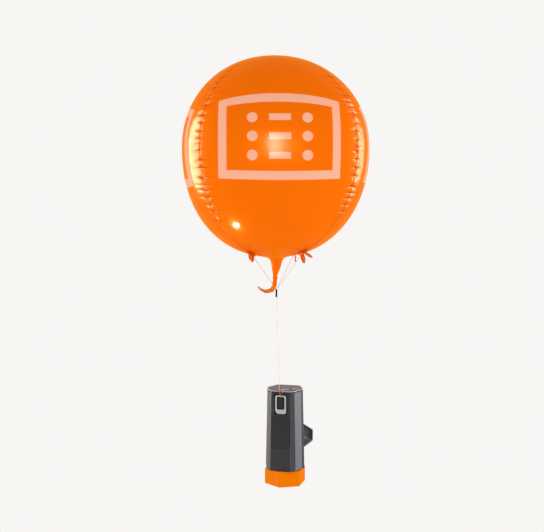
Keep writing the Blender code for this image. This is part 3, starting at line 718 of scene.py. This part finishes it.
LEAF_RIPPLES = (
    # depth, radians from the middle to either edge, radians from the root to the tip
    (0.0007, 4.5, 6),
    (0.0003, 3.0, 26),
)
LEAF_CURL = 0.0022
LEAF_CURL_POWER = 2.5
LEAF_CUP = 0.0012
LEAF_EDGE_SHADE = 0.85
LEAF_TURN = 0.5  # how far the leaves turn towards their seam from the front, as a share of its azimuth


def on_seam(quarter, radius):
    azimuth = np.array([quarter * 2 * math.pi / GORE_COUNT])
    return Vector(envelope(azimuth, np.array([underside(radius)]))[0])


def tuft_points(rng):
    """A crumpled ball of film, folded by a few crossing waves, and how much painted shade each point gets in
    the folds.
    """
    around = full_turn(TUFT_SIDES)
    along = np.linspace(TUFT_POLE, math.pi - TUFT_POLE, TUFT_ROWS)[:, None]
    x = np.cos(along) + 0 * around
    y = np.sin(along) * np.sin(around)
    z = np.sin(along) * np.cos(around)
    swing, swings = TUFT_SWIRL
    folds = 0 * x
    for depth, radians in TUFT_FOLDS:
        shift = rng.uniform(0, 6, 3)
        swirl = swing * np.sin(swings * around + shift[0])
        folds = folds + depth * np.abs(np.sin(radians * x + swirl + shift[1]))
    reach = (TUFT_CORE + folds * TUFT_LIFT) * (1 + waves(TUFT_LUMPS, around, x))
    reach = np.minimum(reach, TUFT_LIMIT)
    valley_top, valley_depth, darkest = TUFT_VALLEY
    valley_shade = np.clip((valley_top - reach) / valley_depth, 0, darkest)
    return np.stack([x, y * reach, z * reach], axis=-1), valley_shade


def leaf_points(rng, length, widest):
    """A loose leaf of film in its XZ plane, hanging along -Z, rippled and a little curled at the tip."""
    down = np.linspace(0, 1, LEAF_ROWS)[:, None]
    across = LEAF_ACROSS[None, :]
    half_width = widest / 2 * np.interp(down, *zip(*LEAF_OUTLINE))
    shift = rng.uniform(0, 6, 2)
    broad, fine = [
        depth * np.sin(over * across + along * down + start)
        for (depth, over, along), start in zip(LEAF_RIPPLES, shift)
    ]
    bow = LEAF_CURL * down**LEAF_CURL_POWER + LEAF_CUP * across**2 * down
    drop = LEAF_ROOT - down * (length + LEAF_ROOT) + 0 * across
    return np.stack([across * half_width, broad * down + fine + bow, drop], axis=-1)


def placed(points, matrix):
    return points @ np.array(matrix.to_3x3()).T + np.array(matrix.translation)


def joined(name, meshes):
    """One smooth mesh made of several."""
    piece = bmesh.new()
    for mesh in meshes:
        piece.from_mesh(mesh)
    made = bpy.data.meshes.new(name)
    piece.to_mesh(made)
    piece.free()
    made.shade_smooth()
    return made


tab_film = film_material("metallised_film_tab_shaded", TAB_SHADED_ORANGE)
# Each leaf is painted darker towards its curled sides, as shade.
leaf_edge_shade = LEAF_EDGE_SHADE * np.abs(np.concatenate([LEAF_ACROSS, LEAF_ACROSS[::-1]])) ** 2
leaf_edge_shade = np.tile(leaf_edge_shade, (LEAF_ROWS, 1))
for number, (node, quarter, leaves) in enumerate(TABS):
    rng = np.random.default_rng(TAB_SEED + number)
    radius = TAB_RADII[number]
    seat = on_seam(quarter, radius)
    along = (on_seam(quarter, radius + SEAM_STEP) - on_seam(quarter, radius - SEAM_STEP)).normalized()
    side = Vector((0, 0, 1)).cross(along).normalized()
    down = along.cross(side).normalized()
    down = -down if down.z > 0 else down
    centre = seat + down * (TAB_SIZE[2] / 2 + TAB_GAP)
    half_axes = [axis * size / 2 for axis, size in zip((along, side, down), TAB_SIZE)]
    tuft_place = Matrix.Translation(centre) @ Matrix(half_axes).transposed().to_4x4()
    lumps, valley_shade = tuft_points(rng)
    tuft = grid_mesh("tuft", placed(lumps, tuft_place), wrap=True, caps=True)
    parts = [shaded(tuft, "crease_and_shade", valley_shade)]
    facing = math.atan2(seat.x, -seat.y) * LEAF_TURN
    for shift, length, width, lean in leaves:
        hang = Matrix.Rotation(facing, 4, "Z") @ Matrix.Rotation(math.radians(-lean), 4, "Y")
        hang = Matrix.Translation(centre + along * shift) @ hang
        front = leaf_points(rng, length, width)
        back = front + np.array([0, LEAF_THICKNESS, 0])
        both = np.concatenate([front, back[:, ::-1]], axis=1)
        leaf = grid_mesh("leaf", placed(both, hang), wrap=True, caps=True)
        parts.append(shaded(leaf, "crease_and_shade", leaf_edge_shade))
    show("film_" + node, joined("film_" + node, parts), tab_film, node)


# Bridle lines: thin laid cord of three tan strands, with a lay of two millimetres. One runs taut from
# under each tab to the top of the sleeve.

LINE_RADIUS = 0.0005
BRIDLE_LAY = 0.0020
BRIDLE_STREAK = 0.0010
STRANDS = 3
CORD_CORE = 0.66  # reach of the groove between two strands, as a share of the radius
CORD_SIDES = 18
CORD_RINGS = 7  # in each lay
CORD_LEAST_RINGS = 24
CORD_FUZZ = 0.0002
CORD_SIDE = (1, 0.2, 0.1)  # sideways at the cord's start; it only has to differ from every cord's run
END_SLICE = 0.0006


def point_height(tree):
    """Height of a shaded point."""
    point = add(tree, "ShaderNodeTexCoord").outputs["Object"]
    return add(tree, "ShaderNodeSeparateXYZ", (point,)).outputs["Z"]


def cord_material(name, colour, dark, streak, contrast=1.0, dyed=None):
    """Spun fibre, matt and fuzzy: the eye gets a thin line that is broken into light and dark stretches.

    The fibres are too fine to show, so the stretches are drawn as long as the streak. A dyed end has
    another colour below some height.
    """
    made, tree = new_material(name)
    point = add(tree, "ShaderNodeTexCoord").outputs["Object"]
    fibre = add(tree, "ShaderNodeTexNoise", {"Vector": point, "Scale": 1 / streak, "Detail": 4.0})
    lightness = add(
        tree,
        "ShaderNodeMapRange",
        {"Value": fibre, "From Min": 0.5 - 0.5 / contrast, "From Max": 0.5 + 0.5 / contrast},
    )
    layers = [(colour, lightness)]
    if dyed:
        dye, dye_top = dyed
        layers.append((dye, add(tree, MATHS, (point_height(tree), dye_top), operation="LESS_THAN")))
    shade = layered(tree, dark, layers)
    bump = add(tree, "ShaderNodeBump", {"Height": fibre, "Strength": 0.4, "Distance": CORD_FUZZ})
    shader = add(tree, "ShaderNodeBsdfPrincipled", {"Base Color": shade, "Roughness": 0.8, "Normal": bump})
    add(tree, "ShaderNodeOutputMaterial", {"Surface": shader})
    return made


def laid_cord(name, points, radius, lay, smooth=False):
    """A cord of twisted strands through these points; the strands turn once in each lay."""
    points = np.array(points, float)
    along = np.concatenate([[0], np.cumsum(np.linalg.norm(np.diff(points, axis=0), axis=1))])
    length = along[-1]
    count = max(int(length / (lay / CORD_RINGS)), CORD_LEAST_RINGS)
    if smooth:
        path = smooth_path(points, count)
    else:
        at = np.linspace(0, length, count)
        path = np.stack([np.interp(at, along, column) for column in points.T], axis=1)
    turn = full_turn(CORD_SIDES)[0]
    reach = radius * (CORD_CORE + (1 - CORD_CORE) * np.abs(np.cos(STRANDS * turn / 2)))
    section = np.stack([reach * np.cos(turn), reach * np.sin(turn)], axis=1)
    twist = np.linspace(0, 2 * math.pi * length / lay, count)
    return sweep(name, path, [section] * count, twist, CORD_SIDE)


def node_ends(node):
    """Upper and lower end of a straight line's CAD node."""
    corners = np.array([vert.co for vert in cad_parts[node].data.vertices])
    top = corners[corners[:, 2] > corners[:, 2].max() - END_SLICE].mean(axis=0)
    bottom = corners[corners[:, 2] < corners[:, 2].min() + END_SLICE].mean(axis=0)
    return top, bottom


bridle_cord = cord_material("laid_cord_tan_thin", "#e8c49c", "#a4683c", BRIDLE_STREAK)
for corner in ("front_left", "front_right", "rear_right", "rear_left"):
    node = "bridle_" + corner
    cord = laid_cord("cord_" + node, node_ends(node), LINE_RADIUS, BRIDLE_LAY)
    show("cord_" + node, cord, bridle_cord, node)


# Sleeve: black shrink tube that closes the four bridle lines on to the tether, drawn in over the
# strands inside it.

SLEEVE_TOP = (0.0040, 0.0035, -0.2890)
SLEEVE_LENGTH = 0.0172
SLEEVE_RADIUS = 0.0018
SLEEVE_MOUTH = 0.0011
SLEEVE_ROWS = 70
SLEEVE_SIDES = 40
SLEEVE_LUMPS = (
    # depth, waves round the sleeve, radians along it: the strands inside, then fine wrinkles
    (0.00012, 4, 9),
    (0.00006, 0, 46),
)
SLEEVE_DRAWN_IN = 0.05  # share of its length over which each end is drawn in
PLASTIC_CLOUD = 0.018  # size of the faint unevenness in a moulded face
PLASTIC_POLISH = (0.04, 0.05)  # how much smoother and rougher it is there


def plastic(name, colour, roughness, grain, depth, worn=0.06, specular=0.06, patches=()):
    """Plastic with a grain of this size and depth and a shade that is uneven by the share worn.

    The eye gets flat soft-edged tones with hardly any gloss. Real moulded grain is about 0.1 mm, too fine
    to show, so it is drawn at 0.4 to 1.2 mm. A patch is a colour and a function that makes its mask.
    """
    made, tree = new_material(name)
    point = add(tree, "ShaderNodeTexCoord").outputs["Object"]
    pits = add(tree, "ShaderNodeTexNoise", {"Vector": point, "Scale": 1 / grain, "Detail": 3.0})
    cloud = add(tree, "ShaderNodeTexNoise", {"Vector": point, "Scale": 1 / PLASTIC_CLOUD, "Detail": 2.0})
    lightness = add(tree, "ShaderNodeMapRange", {"Value": cloud, "To Min": 1 - worn, "To Max": 1.0})
    layers = [(colour, lightness)] + [(patch, mask(tree)) for patch, mask in patches]
    smoother, rougher = PLASTIC_POLISH
    polish = {"Value": cloud, "To Min": roughness - smoother, "To Max": roughness + rougher}
    shader = add(
        tree,
        "ShaderNodeBsdfPrincipled",
        {
            "Base Color": layered(tree, "#000000", layers),
            "Roughness": add(tree, "ShaderNodeMapRange", polish),
            "Normal": add(tree, "ShaderNodeBump", {"Height": pits, "Strength": 0.5, "Distance": depth}),
            "Specular IOR Level": specular,
        },
    )
    add(tree, "ShaderNodeOutputMaterial", {"Surface": shader})
    return made


# Shrunk polyolefin: dull black, with only a breath of light along it.
shrunk_black = plastic(
    "shrink_tube_black", "#08080a", roughness=0.45, grain=0.0004, depth=0.00005, specular=0.02
)
share = np.linspace(0, 1, SLEEVE_ROWS)[:, None]
turn = full_turn(SLEEVE_SIDES)
lumps = waves(SLEEVE_LUMPS, turn, share)
drawn_in = np.clip(np.minimum(share, 1 - share) / SLEEVE_DRAWN_IN, 0, 1) ** 0.5
radius = SLEEVE_MOUTH + (SLEEVE_RADIUS - SLEEVE_MOUTH + lumps) * drawn_in
sleeve_points = turned(radius, turn, -SLEEVE_LENGTH * share) + np.array(SLEEVE_TOP)
sleeve = grid_mesh("sleeve", sleeve_points, wrap=True, caps=True)
show("sleeve", sleeve, shrunk_black, "tether_sleeve")


# Tether and strand: the tether is cream laid cord, dyed orange at its end. It drops from the sleeve into the
# notch at the canister's top edge and is hitched over the ring's upper bar. A thicker tan strand comes back
# out of the notch and lies across the cover to its rear corner.

CANISTER_PLACE = (0.0230, 0.0331)
CANISTER_TURN = math.radians(-15)
BODY_TOP = -0.5050
BODY_BOTTOM = -0.6765
FRONT_APOTHEM = 0.0385
TOP_SCALE = 0.917
NOTCH_DEPTH = 0.0026
RING_REST = -0.5134
TETHER_RADIUS = 0.0008
TETHER_LAY = 0.0030
TETHER_STREAK = 0.0010
LINE_CLEAR = TETHER_RADIUS + 0.0005
DYE_TOP = RING_REST + 0.0220
STRAND_RADIUS = 0.0013
STRAND_LAY = 0.0050
STRAND_STREAK = 0.0080
STRAND_CONTRAST = 7.0
HITCH_ROUTE = (
    # side step, distance in front of the front face, height
    (-0.0019, 0.0014, -0.5138),
    (-0.0017, 0.0023, -0.5150),
    (-0.0014, 0.0024, -0.5166),
    (-0.0012, 0.0018, -0.5180),
    (-0.0012, 0.0014, -0.5188),
)


def body_scale(level):
    return 1 + (TOP_SCALE - 1) * (level - BODY_BOTTOM) / (BODY_TOP - BODY_BOTTOM)


def off_front(side_step, out, level):
    """World place of a point given by its side step, its distance from the front face and its height."""
    ahead = Vector((side_step, -(FRONT_APOTHEM * body_scale(level) + out), level))
    return Matrix.Rotation(CANISTER_TURN, 3, "Z") @ ahead + Vector((*CANISTER_PLACE, 0))


def in_notch(side_step, level):
    return off_front(side_step, LINE_CLEAR - NOTCH_DEPTH, level)


def on_cover(side_step, behind, lift=0.0):
    resting = off_front(side_step, -behind, BODY_TOP)
    return resting + Vector((0, 0, STRAND_RADIUS + lift))


tether_route = [
    Vector(SLEEVE_TOP) - Vector((0, 0, SLEEVE_LENGTH)),
    in_notch(-0.0040, BODY_TOP + 0.0120),
    in_notch(-0.0036, BODY_TOP - 0.0020),
    in_notch(-0.0020, RING_REST),
]
hitch_route = [tether_route[-1]] + [off_front(*row) for row in HITCH_ROUTE]
tether_run = laid_cord("tether_run", tether_route, TETHER_RADIUS, TETHER_LAY)
tether_hitch = laid_cord("tether_hitch", hitch_route, TETHER_RADIUS, TETHER_LAY, smooth=True)
tether_cord = cord_material(
    "laid_cord_dyed_end", "#f4ecda", "#d9be98", TETHER_STREAK, dyed=("#dc9058", DYE_TOP)
)
show("cord_tether", joined("cord_tether", (tether_run, tether_hitch)), tether_cord, "tether")

strand_route = [
    in_notch(0.0014, RING_REST),
    in_notch(0.0024, BODY_TOP - 0.0010),
    on_cover(0.0030, NOTCH_DEPTH, 0.0011),
    on_cover(0.0120, 0.0120),
    on_cover(0.0240, 0.0200),
    on_cover(0.0300, 0.0250),
]
strand = laid_cord("cord_strand", strand_route, STRAND_RADIUS, STRAND_LAY, smooth=True)
strand_cord = cord_material("laid_cord_tan", "#e8bd98", "#4e2410", STRAND_STREAK, STRAND_CONTRAST)
show("cord_strand", strand, strand_cord, "top_strand")


# Canister shell: a six-sided cup of charcoal plastic, moulded in one piece with its corners cut and a
# fine grain all over. The recess for the ring and the cord notch are painted black as shade, and the
# right-hand cut corner is painted paler as light.

EDGE_SOFT = 0.0005
EDGE_SEGMENTS = 2
SHARP_ANGLE = math.radians(25)
FLAT_ANGLE = math.radians(0.4)
SAME_PLACE = 1e-6
RING_CENTRE_Z = -0.5344
RING_SHIFT = -0.0006
RECESS_HALF = (0.01395, 0.0218)
NOTCH_HALF = 0.0050
FACET_START = 0.0202
FACET_END = 0.0300
SIDEWAYS = (math.cos(CANISTER_TURN), math.sin(CANISTER_TURN), 0)
FORWARDS = (math.sin(CANISTER_TURN), -math.cos(CANISTER_TURN), 0)


def from_axis(tree, direction):
    """How far a shaded point lies from the canister's axis in this direction."""
    point = add(tree, "ShaderNodeTexCoord").outputs["Object"]
    along = add(tree, "ShaderNodeVectorMath", (point, direction), operation="DOT_PRODUCT")
    axis = CANISTER_PLACE[0] * direction[0] + CANISTER_PLACE[1] * direction[1]
    return add(tree, MATHS, (along, axis), operation="SUBTRACT")


def on_front(tree, centre_z, shift=0.0):
    """Side step and height of a shaded point on the canister's front face, from this place on it."""
    side = add(tree, MATHS, (from_axis(tree, SIDEWAYS), shift), operation="SUBTRACT")
    return side, add(tree, MATHS, (point_height(tree), centre_z), operation="SUBTRACT")


def before_axis(tree):
    """Whether a shaded point lies on the front half of the canister."""
    return add(tree, MATHS, (from_axis(tree, FORWARDS), 0.0), operation="GREATER_THAN")


def recess_shade_mask(tree):
    """The ring's recess and the notch above it, which are painted black as shade."""
    side, up = on_front(tree, RING_CENTRE_Z, RING_SHIFT)
    recess = inside(tree, side, up, *RECESS_HALF)
    size = add(tree, MATHS, (side,), operation="ABSOLUTE")
    notch = add(tree, MATHS, (size, NOTCH_HALF), operation="LESS_THAN")
    above = add(tree, MATHS, (up, 0.0), operation="GREATER_THAN")
    notch = add(tree, MATHS, (notch, above), operation="MULTIPLY")
    black = add(tree, MATHS, (recess, notch), operation="MAXIMUM")
    return add(tree, MATHS, (black, before_axis(tree)), operation="MULTIPLY")


def lit_facet_mask(tree):
    """The cut corner to the right of the front face, which is painted paler as light."""
    side = from_axis(tree, SIDEWAYS)
    past = add(tree, MATHS, (side, FACET_START), operation="GREATER_THAN")
    within = add(tree, MATHS, (side, FACET_END), operation="LESS_THAN")
    facet = add(tree, MATHS, (past, within), operation="MULTIPLY")
    return add(tree, MATHS, (facet, before_axis(tree)), operation="MULTIPLY")


def softened(name, node, width):
    """The node's own solid with every sharp edge rounded by this width."""
    shape = bmesh.new()
    shape.from_mesh(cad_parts[node].data)
    bmesh.ops.remove_doubles(shape, verts=shape.verts, dist=SAME_PLACE)
    bmesh.ops.dissolve_limit(shape, angle_limit=FLAT_ANGLE, verts=shape.verts, edges=shape.edges)
    sharp = [edge for edge in shape.edges if edge.is_manifold and edge.calc_face_angle() > SHARP_ANGLE]
    bmesh.ops.bevel(
        shape,
        geom=sharp,
        offset=width,
        segments=EDGE_SEGMENTS,
        profile=0.5,
        affect="EDGES",
        clamp_overlap=True,
    )
    mesh = bpy.data.meshes.new(name)
    shape.to_mesh(mesh)
    shape.free()
    mesh.shade_smooth()
    return mesh


def show_moulded(name, node, edge, material, body="frame"):
    """Shows a moulded piece: its CAD solid with edges of this width rounded, and its faces kept flat."""
    made = show(name, softened(name, node, edge), material, node, body)
    weighted = made.modifiers.new("flat faces", "WEIGHTED_NORMAL")
    weighted.keep_sharp = True


# Grained ABS: a dark grey with no clear highlight, whose faces differ by how they are turned.
# Its recess and notch are painted black as shade, and its right-hand cut corner is painted paler as light.
shell_charcoal = plastic(
    "abs_charcoal_painted_light_and_shade",
    "#343237",
    roughness=0.52,
    grain=0.0008,
    depth=0.00006,
    specular=0.065,
    # painted light on the cut corner, painted shade in the recess and notch
    patches=(("#4a484e", lit_facet_mask), ("#080708", recess_shade_mask)),
)
show_moulded("shell", "canister_shell", EDGE_SOFT, shell_charcoal)


# Top cover: a satin grey lid pressed into the shell's mouth. Its rounded rim is painted pale as a highlight,
# and its foot, down in the joint, is painted dark as shade.

COVER_EDGE = 0.0003
RIM_TOP = -0.5053
RIM_FOOT = -0.5069


def below(level):
    """A mask for all that lies lower than this height."""

    def mask(tree):
        return add(tree, MATHS, (point_height(tree), level), operation="LESS_THAN")

    return mask


# Satin ABS: a mid grey that is cloudy with handling, with a thin painted highlight along its front rim and
# painted shade below it.
cover_grey = plastic(
    "lid_grey_satin",
    "#847f86",
    roughness=0.48,
    grain=0.0009,
    depth=0.00005,
    worn=0.40,
    specular=0.03,
    # painted highlight on the rim, painted shade at its foot in the joint
    patches=(("#b3adb2", below(RIM_TOP)), ("#343237", below(RIM_FOOT))),
)
show_moulded("cover", "top_cover", COVER_EDGE, cover_grey)


# Release ring and its window: a pale grey pull ring stands in the front recess, closed by an insert of
# smoked plastic whose border is painted black as shade where it meets the ring.

RING_EDGE = 0.0005
WINDOW_EDGE = 0.0004
WINDOW_CENTRE_Z = RING_CENTRE_Z + 0.00335
WINDOW_CLEAR_HALF = (0.0058, 0.0112)


def border(centre_z, shift, clear_half):
    """A mask for all of a front piece but the rectangle that its border leaves clear; the border takes
    painted shade.
    """

    def mask(tree):
        side, up = on_front(tree, centre_z, shift)
        return add(tree, MATHS, (1.0, inside(tree, side, up, *clear_half)), operation="SUBTRACT")

    return mask


# Smooth moulded plastic: an even pale grey, the lightest thing on the canister.
ring_grey = plastic("ring_pale_grey", "#b4b3b6", roughness=0.38, grain=0.0006, depth=0.00004)
# Smoked acrylic over a dark inside: nearly black with a hint of red, and painted blacker still along its
# border as shade.
smoked = plastic(
    "window_smoked",
    "#322e32",
    roughness=0.30,
    grain=0.0010,
    depth=0.00003,
    patches=(("#0a080a", border(WINDOW_CENTRE_Z, RING_SHIFT, WINDOW_CLEAR_HALF)),),
)
show_moulded("ring", "release_ring", RING_EDGE, ring_grey)
show_moulded("window", "window_insert", WINDOW_EDGE, smoked)


# Front panel: a thin plate of darker plastic, plain all over. It is moulded on its own and bonded into the
# shallow recess below the ring.

PANEL_EDGE = 0.0002
PANEL_CENTRE_Z = -0.5942
PANEL_FACE_HALF = (0.0196, 0.0336)

# Grained plate: a shade darker than the shell round it, and painted blackest along its edge as shade.
panel_dark = plastic(
    "panel_dark_grained",
    "#2b2a30",
    roughness=0.55,
    grain=0.0007,
    depth=0.00005,
    patches=(("#161518", border(PANEL_CENTRE_Z, 0.0, PANEL_FACE_HALF)),),
)
show_moulded("panel", "front_panel", PANEL_EDGE, panel_dark)


# Label band: a strip of grey plastic film, paler than the shell. It is cut to size and stuck down the whole
# right-hand front face.

BAND_EDGE = 0.0002

# Matt film: one flat mid grey, smoother than the grained shell beside it.
band_grey = plastic("label_film_grey", "#727177", roughness=0.50, grain=0.0012, depth=0.00002)
show_moulded("band", "label_band", BAND_EDGE, band_grey)


# Strap loop: a flat moulded strap on the rear right corner, for a wrist strap or a belt. Its slanting
# underside is painted paler as light.

LOOP_EDGE = 0.0006
LOOP_UNDERSIDE = -0.6215

# Grained ABS, a shade greyer than the shell's and duller; its underside is painted a soft mid grey as light.
loop_charcoal = plastic(
    "abs_charcoal_loop_painted_light",
    "#4a484e",
    roughness=0.56,
    grain=0.0008,
    depth=0.00004,
    specular=0.04,
    # painted light on the slanting underside
    patches=(("#86848a", below(LOOP_UNDERSIDE)),),
)
show_moulded("loop", "strap_loop", LOOP_EDGE, loop_charcoal)


# Collar and cartridge: the collar is a plain charcoal cup that the cap turns on, and the cartridge is a
# drawn steel bottle. Both are closed inside, so neither shows while the cap is on.

COLLAR_EDGE = 0.0004
CARTRIDGE_EDGE = 0.0010

# Grained ABS like the shell's, a plain dark grey where it shows at all.
collar_charcoal = plastic(
    "abs_charcoal_grained", "#57555b", roughness=0.52, grain=0.0008, depth=0.00006, specular=0.10
)
# Drawn steel: a plain light grey with a soft sheen.
steel = plastic("cartridge_steel", "#b0b2b6", roughness=0.32, grain=0.0004, depth=0.00002)
show_moulded("collar", "cap_collar", COLLAR_EDGE, collar_charcoal)
show_moulded("cartridge", "gas_cartridge", CARTRIDGE_EDGE, steel)


# Cap: a six-sided cup of orange ABS, moulded in one piece. It closes the canister's foot and turns on the
# collar below the shell.

CAP_EDGE = 0.0004

# Satin ABS: a flat warm orange with no highlight, so each face has one tone.
cap_orange = plastic(
    "cap_orange_satin", "#f27b00", roughness=0.50, grain=0.0009, depth=0.00005, specular=0.004
)
show_moulded("cap", "cap", CAP_EDGE, cap_orange, "cap")
